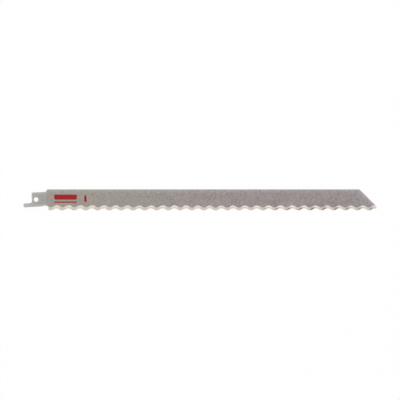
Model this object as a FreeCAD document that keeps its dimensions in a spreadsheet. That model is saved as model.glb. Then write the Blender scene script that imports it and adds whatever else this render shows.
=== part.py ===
import FreeCAD, Part
import math
import os

import Sketcher

# Reciprocating saw blade with a wavy knife edge, for soft material such as insulation board.
# The blade is one strip of spring steel: a long body with a slanted front, a shank that is
# tilted to the body, and a round hole for the pin of the saw's clamp. It has no teeth. A
# profiled wheel grinds scallops across the lower edge on both faces, and a second, steeper
# grind along the same wave hones it to a knife edge.
#
# Frame: the origin is on the hole's axis at mid thickness, +X runs from the shank to the nose,
# +Y towards the straight back and +Z out of one flat face, so the blade lies on its side.
# Lengths are in millimetres and angles in degrees.

SIZES = (
    ("thickness", 1.27, "strip, face to face"),
    ("back_rise", 8.75, "hole axis up to the straight back"),
    ("edge_drop", 9.35, "hole axis down to the crests of the wavy edge"),
    ("nose_reach", 294.2, "hole axis to the upright nose"),
    ("nose_drop", 5.97, "hole axis down to the foot of the slanted front"),
    ("front_slant", 45.0, "slanted front, from the back's line"),
    ("neck_reach", 9.3, "hole axis to the body's rear end, above the shank"),
    ("heel_set", 1.15, "that rear end to the heel's root, below the shank"),
    ("heel_lean", 3.0, "rear side of the first crest, from upright"),
    ("shank_depth", 12.4, "shank, lower to upper side, with the hole midway"),
    ("shank_tilt", 3.0, "shank, from the back's line"),
    ("shank_reach", 3.6, "hole axis to the shank's rear face"),
    ("shank_lap", 1.0, "stretch of the shank's outline that runs into the body"),
    ("tang_reach", 11.1, "hole axis to the tang's end"),
    ("tang_depth", 3.3, "tang, lower to upper side"),
    ("hole_width", 4.0, "diameter of the pin hole"),
    ("neck_round", 1.9, "radius where the shank meets the body, above"),
    ("heel_root_round", 0.8, "radius where the shank meets the body, below"),
    ("heel_round", 2.2, "radius at the heel's lower corner"),
    ("shank_round", 0.7, "radius at the shank's upper rear corner"),
    ("tang_root_round", 2.0, "radius where the tang leaves the shank"),
    ("tang_tip_round", 1.3, "radius at the tang's two end corners"),
    ("nose_round", 0.4, "radius at the foot of the slanted front"),
    ("wave_pitch", 10.2, "one crest to the next"),
    ("wave_height", 1.7, "scallop bottom to crest, seen on the face"),
    ("first_crest", 3.05, "body's rear end to the first crest"),
    ("grind_width", 2.65, "whole ground band, up from the cutting edge"),
    ("hone_width", 1.2, "honed part of that band"),
    ("hone_angle", 16.0, "honed surface, from the blade's middle plane"),
    ("grind_stock", 0.35, "strip below the crests that the grinding takes off"),
)

# Expressions on the sheet's cells that more than one feature uses.
TILT = "(sizes.shank_tilt * 1 deg)"
HALF_SHANK = f"(sizes.shank_depth / 2 / cos({TILT}))"
NECK_CLIMB = f"(sizes.neck_reach * tan({TILT}))"
HEEL_REACH = "(sizes.neck_reach + sizes.heel_set)"
HEEL_CLIMB = f"({HEEL_REACH} * tan({TILT}))"
BLANK_DROP = "(sizes.edge_drop + sizes.grind_stock)"
MEAN_EDGE_DROP = "(sizes.edge_drop - sizes.wave_height / 2)"
FIRST_SCALLOP = "(sizes.neck_reach + sizes.first_crest - sizes.wave_pitch / 2)"
HONE_ANGLE = "(sizes.hone_angle * 1 deg)"
HONE_RISE = f"(sizes.hone_width * tan({HONE_ANGLE}))"
GRIND_ANGLE = f"atan((sizes.thickness / 2 - {HONE_RISE}) / (sizes.grind_width - sizes.hone_width))"

X_AXIS = FreeCAD.Vector(1, 0, 0)
Z_AXIS = FreeCAD.Vector(0, 0, 1)

# Places in a sketch, as the sketcher counts them.
SKETCH_ORIGIN = (-1, 1)
SKETCH_X_AXIS, SKETCH_Y_AXIS = -1, -2
START, END, CENTRE = 1, 2, 3


def make_sizes(doc):
    """The driving dimensions, one aliased cell each."""
    sheet = doc.addObject("Spreadsheet::Sheet", "sizes")
    for row, (alias, value, note) in enumerate(SIZES, start=1):
        sheet.set(f"A{row}", alias)
        sheet.set(f"B{row}", str(value))
        sheet.set(f"C{row}", note)
        sheet.setAlias(f"B{row}", alias)
    doc.recompute()
    return sheet


def origin_feature(body, role):
    return next(item for item in body.Origin.OriginFeatures if item.Role == role)


def add_sketch(body, name, plane_role):
    sketch = body.newObject("Sketcher::SketchObject", name)
    sketch.AttachmentSupport = [(origin_feature(body, plane_role), "")]
    sketch.MapMode = "FlatFace"
    return sketch


def turn_sketch(sketch, axis, angle):
    """Turns the sketch about an axis of its plane by an angle that follows an expression."""
    sketch.AttachmentOffset = FreeCAD.Placement(FreeCAD.Vector(), FreeCAD.Rotation(axis, 1))
    sketch.setExpression("AttachmentOffset.Rotation.Angle", angle)


def constrain(sketch, kind, *geometry):
    sketch.addConstraint(Sketcher.Constraint(kind, *geometry))


def dimension(sketch, name, kind, geometry, expression):
    """A named dimension that starts at what is drawn and then follows an expression."""
    drawn = measure(sketch, kind, geometry)
    index = sketch.addConstraint(Sketcher.Constraint(kind, *geometry, drawn))
    sketch.renameConstraint(index, name)
    sketch.setExpression(f"Constraints.{name}", expression)


def measure(sketch, kind, geometry):
    """The angle of a line in radians, or the distance from one point to another along an axis."""
    if kind == "Angle":
        line = sketch.Geometry[geometry[0]]
        run = line.EndPoint - line.StartPoint
        return math.atan2(run.y, run.x)
    run = sketch.getPoint(*geometry[2:]) - sketch.getPoint(*geometry[:2])
    return run.x if kind == "DistanceX" else run.y


def draw_loop(sketch, corners):
    """A closed chain of lines: line i starts at corner i and ends at the next one."""
    count = len(corners)
    for index, corner in enumerate(corners):
        after = corners[(index + 1) % count]
        sketch.addGeometry(Part.LineSegment(FreeCAD.Vector(*corner), FreeCAD.Vector(*after)))
    for index in range(count):
        constrain(sketch, "Coincident", index, END, (index + 1) % count, START)


def extrude(body, kind, name, sketch, length):
    """A Pad or a Pocket that runs equally to both sides of its sketch."""
    feature = body.newObject(f"PartDesign::{kind}", name)
    feature.Profile = sketch
    feature.SideType = "Symmetric"
    feature.setExpression("Length", length)
    sketch.Visibility = False
    return feature


def pad_body(body, size):
    """The long body as it is stamped: rear end, heel, lower side, nose, slanted front and back.
    Between the rear end and the heel its outline crosses the shank, from the blade's axis down."""
    bottom = -(size.edge_drop + size.grind_stock)
    shank_under = -size.shank_depth / 2
    heel_reach = size.neck_reach + size.heel_set
    heel_run = (shank_under - bottom) * math.tan(math.radians(size.heel_lean))
    front_run = (size.back_rise + size.nose_drop) / math.tan(math.radians(size.front_slant))
    corners = (
        (size.neck_reach, size.back_rise),
        (size.neck_reach, 0),
        (heel_reach, shank_under),
        (heel_reach + heel_run, bottom),
        (size.nose_reach, bottom),
        (size.nose_reach, -size.nose_drop),
        (size.nose_reach - front_run, size.back_rise),
    )
    sketch = add_sketch(body, "body_outline", "XY_Plane")
    draw_loop(sketch, corners)
    rear, crossing, heel, lower, nose, front, back = range(len(corners))
    for upright in (rear, nose):
        constrain(sketch, "Vertical", upright)
    for level in (lower, back):
        constrain(sketch, "Horizontal", level)
    origin = SKETCH_ORIGIN
    dimension(sketch, "neck_reach", "DistanceX", (*origin, rear, START), "sizes.neck_reach")
    dimension(sketch, "back_rise", "DistanceY", (*origin, rear, START), "sizes.back_rise")
    constrain(sketch, "PointOnObject", crossing, START, SKETCH_X_AXIS)
    dimension(sketch, "heel_reach", "DistanceX", (*origin, heel, START), HEEL_REACH)
    dimension(sketch, "heel_root", "DistanceY", (heel, START, *origin), f"{HALF_SHANK} - {HEEL_CLIMB}")
    dimension(sketch, "heel_lean", "Angle", (heel,), "(sizes.heel_lean - 90) * 1 deg")
    dimension(sketch, "blank_drop", "DistanceY", (nose, START, *origin), BLANK_DROP)
    dimension(sketch, "nose_reach", "DistanceX", (*origin, nose, START), "sizes.nose_reach")
    dimension(sketch, "nose_drop", "DistanceY", (nose, END, *origin), "sizes.nose_drop")
    dimension(sketch, "front_slant", "Angle", (front,), "(180 - sizes.front_slant) * 1 deg")
    extrude(body, "Pad", "body_strip", sketch, "sizes.thickness")


def pad_shank(body, size):
    """The shank and its tang, drawn square in a sketch that is tilted about the hole."""
    half = size.shank_depth / 2
    tang_top = size.tang_depth - half
    lap_end = size.neck_reach + size.heel_set + size.shank_lap
    corners = (
        (-size.shank_reach, half),
        (-size.shank_reach, tang_top),
        (-size.tang_reach, tang_top),
        (-size.tang_reach, -half),
        (lap_end, -half),
        (lap_end, half),
    )
    sketch = add_sketch(body, "shank_outline", "XY_Plane")
    turn_sketch(sketch, Z_AXIS, TILT)
    draw_loop(sketch, corners)
    rear, tang_upper, tang_end, under, lap, upper = range(len(corners))
    for upright in (rear, tang_end, lap):
        constrain(sketch, "Vertical", upright)
    for level in (tang_upper, under, upper):
        constrain(sketch, "Horizontal", level)
    origin = SKETCH_ORIGIN
    dimension(sketch, "shank_reach", "DistanceX", (rear, START, *origin), "sizes.shank_reach")
    dimension(sketch, "tang_reach", "DistanceX", (tang_end, START, *origin), "sizes.tang_reach")
    dimension(
        sketch, "lap_end", "DistanceX", (*origin, lap, START), f"{HEEL_REACH} + sizes.shank_lap"
    )
    dimension(sketch, "half_shank", "DistanceY", (lap, START, *origin), "sizes.shank_depth / 2")
    dimension(sketch, "shank_depth", "DistanceY", (lap, START, lap, END), "sizes.shank_depth")
    dimension(sketch, "tang_depth", "DistanceY", (tang_end, END, tang_end, START), "sizes.tang_depth")
    extrude(body, "Pad", "shank_strip", sketch, "sizes.thickness")


def round_corners(body, size):
    """Rounds the corners of the stamped outline, each radius limited by the side it runs into."""
    tilt = math.radians(size.shank_tilt)
    half = size.shank_depth / 2
    neck_top = size.neck_reach * math.tan(tilt) + half / math.cos(tilt)
    heel_reach = size.neck_reach + size.heel_set
    heel_root = heel_reach * math.tan(tilt) - half / math.cos(tilt)
    bottom = -(size.edge_drop + size.grind_stock)
    heel_run = (heel_root - bottom) * math.tan(math.radians(size.heel_lean))

    def on_body(along, up):
        return FreeCAD.Vector(along, up, 0)

    def on_shank(along, up):
        return FreeCAD.Rotation(Z_AXIS, size.shank_tilt).multVec(FreeCAD.Vector(along, up, 0))

    neck = on_body(size.neck_reach, neck_top)
    tang_root = on_shank(-size.shank_reach, size.tang_depth - half)
    tang_ends = [on_shank(-size.tang_reach, up) for up in (-half, size.tang_depth - half)]
    heel_depth = f"({BLANK_DROP} + {HEEL_CLIMB} - {HALF_SHANK})"
    rounds = (
        ("neck_round", [neck], f"0.9 * (sizes.back_rise - {HALF_SHANK} - {NECK_CLIMB})"),
        ("heel_root_round", [on_body(heel_reach, heel_root)], f"0.25 * {heel_depth}"),
        ("heel_round", [on_body(heel_reach + heel_run, bottom)], f"0.6 * {heel_depth}"),
        ("shank_round", [on_shank(-size.shank_reach, half)], "0.2 * sizes.shank_depth"),
        ("tang_root_round", [tang_root], "0.5 * (sizes.tang_reach - sizes.shank_reach)"),
        ("tang_tip_round", tang_ends, "0.45 * sizes.tang_depth"),
        (
            "nose_round",
            [on_body(size.nose_reach, -size.nose_drop)],
            f"0.3 * ({BLANK_DROP} - sizes.nose_drop)",
        ),
    )
    for name, corners, limit in rounds:
        blank = body.Tip
        fillet = body.newObject("PartDesign::Fillet", name)
        fillet.Base = (blank, [upright_edge(blank.Shape, corner) for corner in corners])
        fillet.setExpression("Radius", f"min(sizes.{name}; {limit})")
        body.Document.recompute()


def upright_edge(shape, corner):
    """The name of the edge that stands at a corner of the outline, from face to face."""
    same_place = 1e-4
    for index, edge in enumerate(shape.Edges, start=1):
        runs = [vertex.Point - corner for vertex in edge.Vertexes]
        if len(runs) == 2 and all(math.hypot(run.x, run.y) < same_place for run in runs):
            return f"Edge{index}"
    raise ValueError(f"no edge stands at {corner}")


def pierce_hole(body):
    """The round hole for the pin of the saw's clamp."""
    sketch = add_sketch(body, "pin_circle", "XY_Plane")
    drawn_radius = 1
    circle = sketch.addGeometry(Part.Circle(FreeCAD.Vector(), Z_AXIS, drawn_radius))
    constrain(sketch, "Coincident", circle, CENTRE, *SKETCH_ORIGIN)
    index = sketch.addConstraint(Sketcher.Constraint("Diameter", circle, 2 * drawn_radius))
    sketch.renameConstraint(index, "hole_width")
    sketch.setExpression("Constraints.hole_width", "sizes.hole_width")
    pocket = extrude(body, "Pocket", "pin_hole", sketch, "2 * sizes.thickness")
    require_cut(pocket)


def draw_scallop(sketch, pitch, swing, clear):
    """One pitch of the wheel's profile: half a crest, the scallop and half a crest, in three arcs
    that run into each other, closed by a box on the side that is ground away."""
    quarter = pitch / 4
    radius = (quarter**2 + swing**2) / (2 * swing)
    arcs = (
        ((-2 * quarter, swing - radius), (-quarter, 0), (-2 * quarter, swing)),
        ((0, radius - swing), (-quarter, 0), (quarter, 0)),
        ((2 * quarter, swing - radius), (2 * quarter, swing), (quarter, 0)),
    )
    for centre, first, last in arcs:
        angles = [math.atan2(y - centre[1], x - centre[0]) for x, y in (first, last)]
        circle = Part.Circle(FreeCAD.Vector(*centre), Z_AXIS, radius)
        sketch.addGeometry(Part.ArcOfCircle(circle, *angles))
    box = ((2 * quarter, swing), (2 * quarter, clear), (-2 * quarter, clear), (-2 * quarter, swing))
    for first, last in zip(box, box[1:]):
        sketch.addGeometry(Part.LineSegment(FreeCAD.Vector(*first), FreeCAD.Vector(*last)))


def scallop_sketch(body, size, name, angle):
    """The wheel's profile in a plane square to the surface that it grinds. That surface leans by
    the angle, so the profile swings less than the wave that it leaves on the blade's face."""
    sketch = add_sketch(body, f"{name}_profile", "XZ_Plane")
    turn_sketch(sketch, X_AXIS, angle)
    swing = f"sizes.wave_height / 2 * sin({angle})"
    drawn_swing = float(sketch.evalExpression(swing))
    draw_scallop(sketch, size.wave_pitch, drawn_swing, 2 * size.thickness)
    rear_crest, scallop, front_crest, front_side, top, rear_side = range(6)
    constrain(sketch, "Tangent", rear_crest, START, scallop, START)
    constrain(sketch, "Tangent", scallop, END, front_crest, END)
    constrain(sketch, "Equal", rear_crest, scallop)
    constrain(sketch, "Equal", scallop, front_crest)
    constrain(sketch, "PointOnObject", scallop, CENTRE, SKETCH_Y_AXIS)
    constrain(sketch, "PointOnObject", scallop, START, SKETCH_X_AXIS)
    constrain(sketch, "PointOnObject", scallop, END, SKETCH_X_AXIS)
    constrain(sketch, "Vertical", rear_crest, CENTRE, rear_crest, END)
    constrain(sketch, "Vertical", front_crest, CENTRE, front_crest, START)
    constrain(sketch, "Coincident", front_crest, START, front_side, START)
    constrain(sketch, "Coincident", front_side, END, top, START)
    constrain(sketch, "Coincident", top, END, rear_side, START)
    constrain(sketch, "Coincident", rear_side, END, rear_crest, END)
    constrain(sketch, "Vertical", front_side)
    constrain(sketch, "Vertical", rear_side)
    constrain(sketch, "Horizontal", top)
    tips = (rear_crest, END, front_crest, START)
    dimension(sketch, "pitch", "DistanceX", tips, "sizes.wave_pitch")
    dimension(sketch, "swing", "DistanceY", (*SKETCH_ORIGIN, rear_crest, END), swing)
    dimension(sketch, "clear", "DistanceY", (*SKETCH_ORIGIN, top, START), "2 * sizes.thickness")
    return sketch


def grind_scallop(body, size, name, angle, base_rise, base_drop):
    """The first scallop of one ground surface, on one face. The base is a point of the surface,
    given by its rise from mid thickness and its drop from the hole."""
    sketch = scallop_sketch(body, size, name, angle)
    sketch.setExpression("AttachmentOffset.Base.x", FIRST_SCALLOP)
    sketch.setExpression("AttachmentOffset.Base.y", base_rise)
    sketch.setExpression("AttachmentOffset.Base.z", base_drop)
    length = "4 * (sizes.grind_width + sizes.wave_height)"
    scallop = extrude(body, "Pocket", f"{name}_scallop", sketch, length)
    require_cut(scallop)
    return scallop


def grind_edge(body, size):
    """The wavy edge: both surfaces of a scallop, in a row up to the nose and on the other face."""
    face = "sizes.thickness / 2"
    band_top = f"{MEAN_EDGE_DROP} - sizes.grind_width"
    scallops = [
        grind_scallop(body, size, "primary", GRIND_ANGLE, face, band_top),
        grind_scallop(body, size, "hone", HONE_ANGLE, "0", MEAN_EDGE_DROP),
    ]
    row = body.newObject("PartDesign::LinearPattern", "scallop_row")
    row.Direction = (origin_feature(body, "X_Axis"), [""])
    row.Mode = "Spacing"
    row.setExpression("Offset", "sizes.wave_pitch")
    row.setExpression(
        "Occurrences", f"ceil((sizes.nose_reach - {FIRST_SCALLOP}) / sizes.wave_pitch + 0.5)"
    )
    other_face = body.newObject("PartDesign::Mirrored", "other_face")
    other_face.MirrorPlane = (origin_feature(body, "XY_Plane"), [""])
    edge = body.newObject("PartDesign::MultiTransform", "wavy_edge")
    edge.Originals = scallops
    edge.Transformations = [row, other_face]
    body.Tip = edge
    require_cut(edge)


def require_cut(feature):
    """A cut that points away from the solid shows no error, so the volumes are compared."""
    feature.Document.recompute()
    before = feature.BaseFeature.Shape.Volume
    if not feature.Shape.Volume < before:
        raise RuntimeError(f"{feature.Name} cuts nothing")


def make_blade(doc, size):
    body = doc.addObject("PartDesign::Body", "saw_blade")
    body.Label = "saw_blade"
    pad_body(body, size)
    pad_shank(body, size)
    doc.recompute()
    round_corners(body, size)
    pierce_hole(body)
    grind_edge(body, size)
    return body


def check_model(doc, parts):
    for item in doc.Objects:
        if "Invalid" in item.State or "Error" in item.State:
            raise RuntimeError(f"{item.Name} failed: {item.State}")
    for part in parts:
        if part.Shape.isNull() or not part.Shape.isValid() or len(part.Shape.Solids) != 1:
            raise RuntimeError(f"{part.Label} is not one valid solid")


def main():
    doc = FreeCAD.newDocument("saw_blade")
    size = make_sizes(doc)
    parts = [make_blade(doc, size)]
    doc.recompute()
    check_model(doc, parts)
    os.makedirs("parts", exist_ok=True)
    for part in parts:
        part.Shape.exportStep(f"parts/{part.Label}.step")
        box = part.Shape.optimalBoundingBox()
        print(f"{part.Label}: {box.XLength:.2f} x {box.YLength:.2f} x {box.ZLength:.2f} mm")
        print(f"  volume {part.Shape.Volume:.1f} mm3, {len(part.Shape.Faces)} faces")


main()
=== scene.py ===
import math

import bmesh
import bpy
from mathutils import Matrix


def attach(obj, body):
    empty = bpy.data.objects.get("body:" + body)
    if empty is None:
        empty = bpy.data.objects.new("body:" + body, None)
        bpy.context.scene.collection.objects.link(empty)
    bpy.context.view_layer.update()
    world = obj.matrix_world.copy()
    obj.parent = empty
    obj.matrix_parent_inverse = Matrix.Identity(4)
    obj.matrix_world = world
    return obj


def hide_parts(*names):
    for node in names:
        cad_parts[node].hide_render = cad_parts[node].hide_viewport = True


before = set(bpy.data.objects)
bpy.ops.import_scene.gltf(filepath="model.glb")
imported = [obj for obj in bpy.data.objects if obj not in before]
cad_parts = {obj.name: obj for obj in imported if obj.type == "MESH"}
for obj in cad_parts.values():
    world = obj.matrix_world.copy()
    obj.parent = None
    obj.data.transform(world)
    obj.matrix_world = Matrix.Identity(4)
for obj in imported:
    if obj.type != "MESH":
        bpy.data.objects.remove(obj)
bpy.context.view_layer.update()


# THE BLADE
# One strip of spring steel, 1.27 mm thick. It is stamped to a long body with a slanted front, a
# shank that is tilted to the body and a round pin hole, then blasted grey. Wheels with a wavy
# profile grind its lower edge on both faces, first at a flat angle and then at a steeper one.

MM = 0.001
THICKNESS = 1.27 * MM
BACK_RISE = 8.75 * MM
EDGE_DROP = 9.35 * MM
NOSE_REACH = 294.2 * MM
NOSE_DROP = 5.97 * MM
NECK_REACH = 9.3 * MM
HALF_SHANK = 6.2 * MM
SHANK_REACH = 3.6 * MM
TANG_REACH = 11.1 * MM
TANG_DEPTH = 3.3 * MM
HOLE_RADIUS = 2.0 * MM
STOCK = 0.35 * MM
FRONT_SLANT = math.radians(45)
HEEL_REACH = 10.45 * MM
HEEL_LEAN = math.radians(3)
SHANK_TILT = math.radians(3)
NECK_ROUND = 1.85 * MM
HEEL_ROOT_ROUND = 0.8 * MM
HEEL_ROUND = 2.2 * MM
SHANK_ROUND = 0.7 * MM
TANG_ROOT_ROUND = 2.0 * MM
TANG_TIP_ROUND = 1.3 * MM
NOSE_ROUND = 0.4 * MM
RIM = 0.06 * MM
HOLE_RIM = 0.16 * MM
NEARBY = 0.02 * MM
SAME_PLACE = 1e-6
TOUCHING = 1e-7
ON_PLANE = 1e-8

PITCH = 10.2 * MM
WAVE = 1.7 * MM
FIRST_SCALLOP = 7.25 * MM
SCALLOPS = 30
GRIND_WIDTH = 2.65 * MM
HONE_WIDTH = 1.2 * MM
HONE_ANGLE = math.radians(16)
MEAN_EDGE = -(EDGE_DROP - WAVE / 2)
HONE_RISE = HONE_WIDTH * math.tan(HONE_ANGLE)
GRIND_ANGLE = math.atan((THICKNESS / 2 - HONE_RISE) / (GRIND_WIDTH - HONE_WIDTH))

# The wheels' paths slant, and the first grind's path also rises: each by a settled amount, by more
# at the rear, which fades out between two places, and then by a waver with each turn of the feed.
FEED_TURN = 105 * MM
WAVER_TOP = 106.5 * MM
SLANT = {"settled": -0.16 * MM, "rear": 0.76 * MM, "fade": (80 * MM, 160 * MM), "waver": 0.12 * MM}
RISE = {"settled": -0.17 * MM, "rear": 0.27 * MM, "fade": (65 * MM, 90 * MM), "waver": 0.09 * MM}


def edit(piece):
    """Opens one piece in edit mode, with nothing in it selected."""
    bpy.ops.object.select_all(action="DESELECT")
    bpy.context.view_layer.objects.active = piece
    piece.select_set(True)
    bpy.ops.object.mode_set(mode="EDIT")
    bpy.ops.mesh.select_all(action="DESELECT")


def pick(kind, test):
    """Selects only the vertices, edges or faces of the open piece that pass the test."""
    bpy.ops.mesh.select_all(action="DESELECT")
    bpy.ops.mesh.select_mode(type=kind)
    data = bpy.context.edit_object.data
    mesh = bmesh.from_edit_mesh(data)
    for item in {"VERT": mesh.verts, "EDGE": mesh.edges, "FACE": mesh.faces}[kind]:
        if test(item):
            item.select_set(True)
    bmesh.update_edit_mesh(data)


def apply_modifier(piece, kind, **settings):
    """Adds one modifier to a piece and applies it."""
    modifier = piece.modifiers.new(kind.title(), kind)
    for name, value in settings.items():
        setattr(modifier, name, value)
    bpy.ops.object.select_all(action="DESELECT")
    bpy.context.view_layer.objects.active = piece
    piece.select_set(True)
    bpy.ops.object.modifier_apply(modifier=modifier.name)


def on_shank(along, up):
    """A point given along and across the tilted shank."""
    cosine, sine = math.cos(SHANK_TILT), math.sin(SHANK_TILT)
    return (along * cosine - up * sine, along * sine + up * cosine, 0)


def split(point, normal, **cut):
    """Cuts the whole open piece along a plane."""
    bpy.ops.mesh.select_all(action="SELECT")
    bpy.ops.mesh.bisect(plane_co=point, plane_no=normal, threshold=ON_PLANE, **cut)


def round_corner(corner, radius, turn, steps):
    """Rounds one corner of the flat outline, where its sides turn by an angle."""
    pick("VERT", lambda vert: math.dist(vert.co.xy, corner[:2]) < NEARBY)
    reach = radius * math.tan(turn / 2)
    bpy.ops.mesh.bevel(affect="VERTICES", offset=reach, segments=steps, profile=0.5)


# The outline, flat: the body, then the shank drawn out of its rear side and trimmed to the tang.
blank_drop = EDGE_DROP + STOCK
shank_rise = HALF_SHANK / math.cos(SHANK_TILT)
neck_top = (NECK_REACH, NECK_REACH * math.tan(SHANK_TILT) + shank_rise, 0)
neck_under = (NECK_REACH, NECK_REACH * math.tan(SHANK_TILT) - shank_rise, 0)
heel_root = (HEEL_REACH, HEEL_REACH * math.tan(SHANK_TILT) - shank_rise, 0)
heel = (HEEL_REACH + (heel_root[1] + blank_drop) * math.tan(HEEL_LEAN), -blank_drop, 0)
shank_along = (math.cos(SHANK_TILT), math.sin(SHANK_TILT), 0)
shank_across = (-math.sin(SHANK_TILT), math.cos(SHANK_TILT), 0)
heel_across = (-math.cos(HEEL_LEAN), -math.sin(HEEL_LEAN), 0)
front_across = (math.sin(FRONT_SLANT), math.cos(FRONT_SLANT), 0)

bpy.ops.object.select_all(action="DESELECT")
bpy.ops.mesh.primitive_plane_add(
    size=1, location=((NECK_REACH + NOSE_REACH) / 2, (BACK_RISE - blank_drop) / 2, 0)
)
blade = bpy.context.object
blade.name = "wavy_blade"
blade.scale = (NOSE_REACH - NECK_REACH, BACK_RISE + blank_drop, 1)
bpy.ops.object.transform_apply(location=True, rotation=True, scale=True)
edit(blade)
split((NOSE_REACH, -NOSE_DROP, 0), front_across, clear_outer=True)
split(neck_top, (0, 1, 0))
split(heel_root, shank_across)
split(heel_root, heel_across)
pick("FACE", lambda face: face.calc_center_median().x < HEEL_REACH
     and face.calc_center_median().y < heel_root[1])
bpy.ops.mesh.delete(type="FACE")
pick("EDGE", lambda edge: all(abs(vert.co.x - NECK_REACH) < SAME_PLACE for vert in edge.verts)
     and all(vert.co.y < neck_top[1] + SAME_PLACE for vert in edge.verts)
     and all(vert.co.y > neck_under[1] - SAME_PLACE for vert in edge.verts))
draw_out = NECK_REACH + 2 * TANG_REACH
bpy.ops.mesh.extrude_region_move(
    TRANSFORM_OT_translate={"value": (-draw_out, -draw_out * math.tan(SHANK_TILT), 0)}
)
split(on_shank(-TANG_REACH, 0), shank_along, clear_inner=True)
split(on_shank(-SHANK_REACH, 0), shank_along)
pick("FACE", lambda face: face.calc_center_median().x < -SHANK_REACH)
bpy.ops.mesh.bisect(
    plane_co=on_shank(0, TANG_DEPTH - HALF_SHANK), plane_no=shank_across, threshold=ON_PLANE
)
pick("FACE", lambda face: face.calc_center_median().x < -SHANK_REACH
     and face.calc_center_median().y > TANG_DEPTH - HALF_SHANK)
bpy.ops.mesh.delete(type="FACE")
bpy.ops.mesh.select_all(action="SELECT")
bpy.ops.mesh.dissolve_limited(angle_limit=math.radians(1))
round_corner(neck_top, NECK_ROUND, math.pi / 2 - SHANK_TILT, 12)
round_corner(heel_root, HEEL_ROOT_ROUND, math.pi / 2 - HEEL_LEAN + SHANK_TILT, 8)
round_corner(heel, HEEL_ROUND, math.pi / 2 - HEEL_LEAN, 16)
round_corner(on_shank(-SHANK_REACH, HALF_SHANK), SHANK_ROUND, math.pi / 2, 8)
round_corner(on_shank(-SHANK_REACH, TANG_DEPTH - HALF_SHANK), TANG_ROOT_ROUND, math.pi / 2, 14)
round_corner(on_shank(-TANG_REACH, TANG_DEPTH - HALF_SHANK), TANG_TIP_ROUND, math.pi / 2, 12)
round_corner(on_shank(-TANG_REACH, -HALF_SHANK), TANG_TIP_ROUND, math.pi / 2, 12)
round_corner((NOSE_REACH, -NOSE_DROP), NOSE_ROUND, math.pi / 2 - FRONT_SLANT, 6)

# The strip's thickness, the punched hole and the small round that the press leaves on the rim.
bpy.ops.mesh.select_all(action="SELECT")
bpy.ops.transform.translate(value=(0, 0, -THICKNESS / 2))
bpy.ops.mesh.extrude_region_move(TRANSFORM_OT_translate={"value": (0, 0, THICKNESS)})
bpy.ops.mesh.select_all(action="SELECT")
bpy.ops.mesh.normals_make_consistent(inside=False)
bpy.ops.object.mode_set(mode="OBJECT")

bpy.ops.object.select_all(action="DESELECT")
bpy.ops.mesh.primitive_cylinder_add(vertices=72, radius=HOLE_RADIUS, depth=3 * THICKNESS)
punch = bpy.context.object
apply_modifier(blade, "BOOLEAN", operation="DIFFERENCE", solver="EXACT", object=punch)
bpy.data.objects.remove(punch)

edit(blade)
pick("EDGE", lambda edge: all(
    abs(math.hypot(vert.co.x, vert.co.y) - HOLE_RADIUS) < NEARBY
    and abs(vert.co.z) > THICKNESS / 2 - SAME_PLACE for vert in edge.verts
) and abs(edge.verts[0].co.z - edge.verts[1].co.z) < SAME_PLACE)
bpy.ops.mesh.bevel(affect="EDGES", offset=HOLE_RIM, segments=2, profile=0.5, clamp_overlap=True)
bpy.ops.mesh.select_all(action="DESELECT")
bpy.ops.mesh.edges_select_sharp(sharpness=math.radians(50))
bpy.ops.mesh.bevel(affect="EDGES", offset=RIM, segments=2, profile=0.5, clamp_overlap=True)
bpy.ops.object.mode_set(mode="OBJECT")


def wavy_wheel(angle, side, base_drop, base_rise):
    """A cutter with the wheel's profile, laid on the surface that it grinds on one face."""
    quarter = PITCH / 4
    swing = WAVE / 2 * math.sin(angle)
    radius = (quarter**2 + swing**2) / (2 * swing)
    arc = 2 * math.atan(swing / quarter)
    reach = 4 * (GRIND_WIDTH + WAVE)
    bpy.ops.object.select_all(action="DESELECT")
    bpy.ops.mesh.primitive_plane_add(size=reach, location=(-2 * quarter, 0, swing))
    wheel = bpy.context.object
    bpy.ops.object.transform_apply(location=True, rotation=True, scale=True)
    edit(wheel)
    pick("VERT", lambda vert: vert.co.x > -2 * quarter)
    bpy.ops.mesh.delete(type="VERT")
    bpy.ops.mesh.select_all(action="SELECT")
    bpy.ops.transform.translate(value=(reach / 2, 0, 0))
    for steps, turn, centre in (
        (7, -arc, (-2 * quarter, 0, swing - radius)),
        (14, 2 * arc, (0, 0, radius - swing)),
        (7, -arc, (2 * quarter, 0, swing - radius)),
    ):
        bpy.ops.mesh.spin(steps=steps, angle=turn, center=centre, axis=(0, 1, 0))
    bpy.ops.object.mode_set(mode="OBJECT")
    apply_modifier(
        wheel, "ARRAY", count=SCALLOPS, use_relative_offset=False, use_constant_offset=True,
        constant_offset_displace=(PITCH, 0, 0), use_merge_vertices=True, merge_threshold=SAME_PLACE
    )
    edit(wheel)
    bpy.ops.mesh.select_all(action="SELECT")
    bpy.ops.mesh.extrude_region_move(TRANSFORM_OT_translate={"value": (0, 0, 2 * THICKNESS)})
    bpy.ops.object.mode_set(mode="OBJECT")
    wheel.scale = (1, 1, side)
    wheel.rotation_euler = (side * angle, 0, 0)
    wheel.location = (FIRST_SCALLOP, base_drop, side * base_rise)
    bpy.ops.object.transform_apply(location=True, rotation=True, scale=True)
    edit(wheel)
    bpy.ops.mesh.select_all(action="SELECT")
    bpy.ops.mesh.normals_make_consistent(inside=False)
    bpy.ops.object.mode_set(mode="OBJECT")
    return wheel


def off_course(place, settled, rear, fade, waver):
    """How far a wheel's path is off at a place along the blade."""
    share = min(max((place - fade[0]) / (fade[1] - fade[0]), 0), 1)
    turn = math.cos(2 * math.pi * (place - WAVER_TOP) / FEED_TURN)
    return settled + rear * (1 - share) + waver * turn * share


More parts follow.
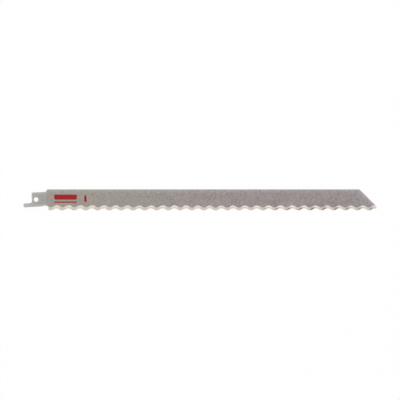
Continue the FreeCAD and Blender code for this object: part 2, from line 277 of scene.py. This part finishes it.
for side in (1, -1):
    grind = wavy_wheel(GRIND_ANGLE, side, MEAN_EDGE + GRIND_WIDTH, THICKNESS / 2)
    hone = wavy_wheel(HONE_ANGLE, side, MEAN_EDGE, 0)
    for wheel in (grind, hone):
        for vert in wheel.data.vertices:
            place = vert.co.x
            vert.co.x += off_course(place, **SLANT) * (vert.co.y - MEAN_EDGE) / GRIND_WIDTH
            if wheel is grind:
                vert.co.y += off_course(place, **RISE)
        apply_modifier(blade, "BOOLEAN", operation="DIFFERENCE", solver="EXACT", object=wheel)
        bpy.data.objects.remove(wheel)

edit(blade)
bpy.ops.mesh.select_all(action="SELECT")
bpy.ops.mesh.remove_doubles(threshold=TOUCHING)
bpy.ops.mesh.normals_make_consistent(inside=False)
bpy.ops.object.mode_set(mode="OBJECT")


class Tone:
    """A socket in a material. Expressions on tones add the Math nodes that work them out."""

    def __init__(self, tree, socket):
        self.tree = tree
        self.socket = socket

    def node(self, kind, settings, sockets, output=0):
        """Adds a node of any kind: its settings first, then the values or links of its sockets."""
        made = self.tree.nodes.new(kind)
        for name, value in settings.items():
            setattr(made, name, value)
        for name, value in sockets.items():
            if isinstance(value, Tone):
                self.tree.links.new(value.socket, made.inputs[name])
            else:
                made.inputs[name].default_value = value
        return Tone(self.tree, made.outputs[output])

    def math(self, operation, first, second=0.0):
        return self.node("ShaderNodeMath", {"operation": operation}, {0: first, 1: second})

    def __add__(self, other):
        return self.math("ADD", self, other)

    def __sub__(self, other):
        return self.math("SUBTRACT", self, other)

    def __rsub__(self, other):
        return self.math("SUBTRACT", other, self)

    def __mul__(self, other):
        return self.math("MULTIPLY", self, other)

    def __truediv__(self, other):
        return self.math("DIVIDE", self, other)

    __radd__ = __add__

    def cosine(self):
        return self.math("COSINE", self)

    def size(self):
        """The value without its sign."""
        return self.math("ABSOLUTE", self)

    def or_more(self, other):
        """The larger of two tones."""
        return self.math("MAXIMUM", self, other)

    def along(self, axis):
        return self.node("ShaderNodeSeparateXYZ", {}, {0: self}, axis)

    def stretched(self, along, across, through=1.0):
        """The same place on a grid that is stretched, so that a pattern on it is too."""
        settings = {"operation": "MULTIPLY"}
        return self.node("ShaderNodeVectorMath", settings, {0: self, 1: (along, across, through)})

    def grain(self, size, detail=2.0, roughness=0.5):
        """Cloudy grain with spots of a size in metres, from 0 to 1 and mostly near 0.5."""
        sockets = {"Vector": self, "Scale": 1 / size, "Detail": detail, "Roughness": roughness}
        return self.node("ShaderNodeTexNoise", {}, sockets)

    def step(self, low, high):
        """Climbs softly from 0 to 1 between two values."""
        settings = {"interpolation_type": "SMOOTHSTEP"}
        return self.node("ShaderNodeMapRange", settings, {0: self, 1: low, 2: high})

    def blend(self, low, high):
        """The first colour where this tone is 0, the second where it is 1."""
        return self.node("ShaderNodeMix", {"data_type": "RGBA"}, {0: self, 6: low, 7: high}, 2)

    def lit(self, strength):
        """A colour made lighter or darker."""
        settings = {"operation": "SCALE"}
        return self.node("ShaderNodeVectorMath", settings, {0: self, "Scale": strength})


def colour(red, green, blue):
    """A colour as it is read in a picture, from 0 to 255."""
    return (*[((level / 255 + 0.055) / 1.055) ** 2.4 for level in (red, green, blue)], 1)


def start_finish(name, metallic, roughness):
    """A material with its shader, and the place on the piece as the first tone."""
    material = bpy.data.materials.new(name)
    material.use_nodes = True
    tree = material.node_tree
    shader = tree.nodes["Principled BSDF"]
    shader.inputs["Metallic"].default_value = metallic
    shader.inputs["Roughness"].default_value = roughness
    place = Tone(tree, tree.nodes.new("ShaderNodeTexCoord").outputs["Object"])
    return material, shader, place


def coat(shader, paint, roughness, bump, depth):
    """Joins the worked-out tones to the shader: its colour, its gloss and its relief."""
    sockets = {"Strength": 1.0, "Distance": depth, "Height": bump}
    relief = bump.node("ShaderNodeBump", {}, sockets)
    paint.tree.links.new(paint.socket, shader.inputs["Base Color"])
    paint.tree.links.new(roughness.socket, shader.inputs["Roughness"])
    paint.tree.links.new(relief.socket, shader.inputs["Normal"])


def above_edge(place):
    """How far a point is above the wavy edge, and how near to a crest it is, from 0 to 1."""
    along, up = place.along(0), place.along(1)
    swing = ((along - FIRST_SCALLOP) * (2 * math.pi / PITCH)).cosine()
    return up - MEAN_EDGE - swing * (WAVE / 2), 0.5 - swing * 0.5


# Blasted steel: fine grey mottle, warmer towards the shank. Towards the nose it is slightly violet,
# coarser and faintly clouded. It is a little lighter along the back, the slanted front and the
# hole. The shank was masked, so it is smoother and lighter, most of all at the tang and its sides.
blasted, shader, place = start_finish("blasted_steel", 1.0, 0.5)
along, up = place.along(0), place.along(1)
nose_side = along.step(40 * MM, 180 * MM)
patches = place.stretched(1, 1.5).grain(19 * MM, 3.0, 0.6).step(0.38, 0.62)
warm = patches.blend(colour(157, 150, 144), colour(155, 150, 143))
cool = patches.blend(colour(154, 145, 144), colour(152, 145, 143))
cool = (along.step(255 * MM, 285 * MM) * 0.8).blend(cool, colour(151, 145, 146))
front = NOSE_REACH - NOSE_DROP
rim_near = up.step(4.5 * MM, 9.3 * MM).or_more((along + up).step(front - 5 * MM, front - MM))
paint = (rim_near * 0.6).blend(nose_side.blend(warm, cool), colour(156, 153, 150))
off_middle = (up - along * math.tan(SHANK_TILT)).size()
shank_light = (off_middle.step(3.6 * MM, 6.0 * MM) * 0.9).or_more(along.step(3.5 * MM, -9 * MM))
shank_paint = shank_light.blend(colour(159, 156, 151), colour(177, 176, 171))
shank_side = (along + (place.grain(3 * MM) - 0.5) * (3 * MM)).step(10.2 * MM, 8.2 * MM)
paint = shank_side.blend(paint, shank_paint)
mottle = place.grain(1.3 * MM, 3.0, 0.6) - 0.5
speckle = place.grain(0.4 * MM, 3.0, 0.75) - 0.5
clouds = place.grain(7 * MM, 2.0, 0.5) - 0.5
coarser = along.step(75 * MM, 110 * MM)
hole_near = place.node("ShaderNodeVectorMath", {"operation": "LENGTH"}, {0: place}, "Value")
light = (
    rim_near * (1.0 - shank_side) * 0.17
    + along.step(262 * MM, 290 * MM) * 0.06
    + hole_near.step(3.6 * MM, 2.4 * MM) * 0.05
    + clouds * coarser * 0.3
)
grit = (mottle * 0.9 + speckle * 1.4) * (1.0 + coarser * 0.25) * (1.0 - shank_side * 0.5)
strength = 1.0 + grit + light
coat(
    shader,
    paint.lit(strength),
    roughness=0.5 + mottle * 0.3 - shank_side * 0.08,
    bump=mottle * 0.3 + speckle,
    depth=0.02 * MM,
)

# The first grind: pale bare steel with painted reflection: a painted highlight in the scallops,
# brightest towards the nose, and painted shade that darkens the crests to tan, with fine scratches
# across the edge.
ground, shader, place = start_finish("ground_steel", 1.0, 0.35)
crest = above_edge(place)[1]
nose_side = place.along(0).step(85 * MM, 120 * MM)
hollow_steel_and_sheen = nose_side.blend(colour(228, 221, 208), colour(241, 235, 225))
crest_steel_and_shade = nose_side.blend(colour(211, 202, 188), colour(212, 201, 187))
# Painted highlight in the scallops and painted shade on the crests.
paint = crest.step(0.2, 0.9).blend(hollow_steel_and_sheen, crest_steel_and_shade)
scratches = place.stretched(1, 0.08).grain(0.22 * MM, 2.0, 0.6) - 0.5
coat(shader, paint.lit(1.0 + scratches * 0.3), 0.35 + scratches * 0.2, scratches, 0.01 * MM)

# The hone: a shade darker than the first grind, with the same painted highlight in the scallops and
# painted shade on the crests. Towards the nose the side of each crest that faces the nose gets a
# painted brown-grey shade for the dark reflection of that steep flank, uneven and strongest along
# its scratches.
honed, shader, place = start_finish("honed_steel", 1.0, 0.3)
height, crest = above_edge(place)
along = place.along(0)
nose_side = along.step(85 * MM, 120 * MM)
hollow_steel_and_sheen = nose_side.blend(colour(214, 207, 194), colour(218, 210, 198))
crest_steel_and_shade = nose_side.blend(colour(206, 198, 185), colour(211, 202, 189))
# Painted highlight in the scallops and painted shade on the crests.
paint = crest.step(0.2, 0.9).blend(hollow_steel_and_sheen, crest_steel_and_shade)
past_crest = (along - FIRST_SCALLOP) / PITCH + 0.5
flank = ((past_crest - 0.2) * (2 * math.pi)).cosine().step(0.0, 1.0)
uneven = place.stretched(1, 0, 0).grain(13 * MM, 1.0, 0.5).step(0.3, 0.62)
nose_part = along.step(182 * MM, 222 * MM) * (1.0 - along.step(250 * MM, 270 * MM) * 0.3)
up_hone = 0.4 + height.step(0.1 * MM, 0.7 * MM) * 0.9 - height.step(0.8 * MM, 1.2 * MM) * 0.5
# Painted shade: the dark reflection of each crest's nose-facing flank, painted brown-grey onto the
# hone.
painted_flank_shade = flank * nose_part * up_hone * (0.72 + uneven * 0.2)
scratches = place.stretched(1, 0.08).grain(0.18 * MM, 2.0, 0.6) - 0.5
paint = (painted_flank_shade * (1.0 + scratches * 1.2)).blend(paint, colour(122, 111, 97))
coat(shader, paint.lit(1.0 + scratches * 0.25), 0.3 + scratches * 0.2, scratches, 0.01 * MM)

# The stamped rim: bright sheared steel.
sheared, shader, place = start_finish("sheared_steel", 1.0, 0.4)
streaks = place.stretched(1, 1, 0.15).grain(0.3 * MM, 2.0, 0.6) - 0.5
paint = streaks.step(-0.3, 0.3).blend(colour(140, 135, 130), colour(176, 172, 166))
coat(shader, paint, 0.4 + streaks * 0.3, streaks, 0.02 * MM)

# Each facet's finish follows from how level it is and how far it leans towards the edge.
for finish in (blasted, ground, honed, sheared):
    blade.data.materials.append(finish)
FACE, PRIMARY, HONE, WALL = range(4)
LEVEL, NEARLY_LEVEL = 0.999, 0.93
GRIND_LEAN, HONE_LEAN = 0.1, 0.228
for polygon in blade.data.polygons:
    level, lean = abs(polygon.normal.z), -polygon.normal.y
    if level > LEVEL:
        polygon.material_index = FACE
    elif level > NEARLY_LEVEL and lean > HONE_LEAN:
        polygon.material_index = HONE
    elif level > NEARLY_LEVEL and lean > GRIND_LEAN:
        polygon.material_index = PRIMARY
    else:
        polygon.material_index = WALL
edit(blade)
for finish in (FACE, PRIMARY, HONE):
    pick("FACE", lambda face: face.material_index == finish)
    bpy.ops.mesh.region_to_loop()
    bpy.ops.mesh.mark_sharp()
pick("EDGE", lambda edge: all(abs(vert.co.z) < SAME_PLACE for vert in edge.verts))
bpy.ops.mesh.mark_sharp()
bpy.ops.object.mode_set(mode="OBJECT")
bpy.ops.object.shade_smooth()
apply_modifier(blade, "WEIGHTED_NORMAL", keep_sharp=True, weight=90)
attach(blade, "root")
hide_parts("saw_blade")


# THE PRINT
# Thin red ink on the face near the shank: a plain block with a line under it, and a small upright
# block after them.
INK_FOOT = THICKNESS / 2 - 0.004 * MM
INK_HEIGHT = 0.014 * MM

# Each bar's middle, its size and the radius of its corners, in mm.
bars = []
for middle, size, corner in (
    ((25.4, 2.1), (19.6, 4.4), 0.9),
    ((25.4, -2.2), (19.6, 1.1), 0.5),
    ((42.6, 0.7), (2.0, 5.6), 0.9),
):
    bpy.ops.object.select_all(action="DESELECT")
    bpy.ops.mesh.primitive_cube_add(
        size=1, location=(middle[0] * MM, middle[1] * MM, INK_FOOT + INK_HEIGHT / 2)
    )
    bar = bpy.context.object
    bar.scale = (size[0] * MM, size[1] * MM, INK_HEIGHT)
    bpy.ops.object.transform_apply(location=True, rotation=True, scale=True)
    edit(bar)
    pick("EDGE", lambda edge: abs(edge.verts[0].co.z - edge.verts[1].co.z) > INK_HEIGHT / 2)
    bpy.ops.mesh.bevel(affect="EDGES", offset=corner * MM, segments=8, profile=0.5)
    bpy.ops.object.mode_set(mode="OBJECT")
    bars.append(bar)
for bar in bars:
    bar.select_set(True)
bpy.context.view_layer.objects.active = bars[0]
bpy.ops.object.join()
printing = bars[0]
printing.name = "red_print"

ink, shader, place = start_finish("red_ink", 0.0, 0.55)
worn = place.grain(0.9 * MM, 3.0, 0.6)
paint = worn.step(0.58, 0.8).blend(colour(152, 14, 18), colour(166, 66, 62))
shader.inputs["Specular IOR Level"].default_value = 0.25
coat(shader, paint, 0.5 + worn * 0.1, place.grain(0.3 * MM), 0.01 * MM)
printing.data.materials.append(ink)
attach(printing, "root")


# THE FLOOR, THE LIGHT AND THE CAMERA
# A plain white table under the blade, which looks evenly lit to the camera and in the steel, a soft
# white room and one large soft lamp from the upper left. The camera looks straight down.
TABLE_SIZE = 6
TABLE_GLOW = 0.88
ROOM_GLOW = 0.95
LAMP_SIZE = 2.8
LAMP_POWER = 9
VIEW_WIDTH = 345.7 * MM
VIEW_MIDDLE = (141.67 * MM, -0.39 * MM)
LENS = 200
SENSOR = 36

bpy.ops.object.select_all(action="DESELECT")
bpy.ops.mesh.primitive_plane_add(size=TABLE_SIZE, location=(0.14, 0, -THICKNESS / 2))
floor = bpy.context.object
floor.name = "table"
white, shader, place = start_finish("white_table", 0.0, 0.9)
shader.inputs["Base Color"].default_value = (0.93, 0.93, 0.93, 1)
shader.inputs["Specular IOR Level"].default_value = 0.0
tree = white.node_tree
glow = tree.nodes.new("ShaderNodeEmission")
glow.inputs["Strength"].default_value = 1.0
seen = place.node("ShaderNodeLightPath", {}, {}, "Is Camera Ray")
mirrored = place.node("ShaderNodeLightPath", {}, {}, "Is Glossy Ray")
join = tree.nodes.new("ShaderNodeMixShader")
tree.links.new((seen.or_more(mirrored) * TABLE_GLOW).socket, join.inputs[0])
tree.links.new(shader.outputs[0], join.inputs[1])
tree.links.new(glow.outputs[0], join.inputs[2])
tree.links.new(join.outputs[0], tree.nodes["Material Output"].inputs[0])
floor.data.materials.append(white)

room = bpy.data.worlds.new("soft_room")
room.use_nodes = True
background = room.node_tree.nodes["Background"]
background.inputs["Color"].default_value = (1, 1, 1, 1)
background.inputs["Strength"].default_value = ROOM_GLOW
bpy.context.scene.world = room

bpy.ops.object.light_add(type="AREA", location=(-0.75, 1.05, 1.65))
lamp = bpy.context.object
lamp.data.size = LAMP_SIZE
lamp.data.energy = LAMP_POWER
lamp.rotation_euler = (math.radians(-30), math.radians(-28), 0)

bpy.ops.object.camera_add()
camera = bpy.context.object
camera.data.lens = LENS
camera.data.sensor_width = SENSOR
camera.location = (*VIEW_MIDDLE, THICKNESS / 2 + VIEW_WIDTH * LENS / SENSOR)
bpy.context.scene.camera = camera
bpy.context.scene.view_settings.view_transform = "Standard"
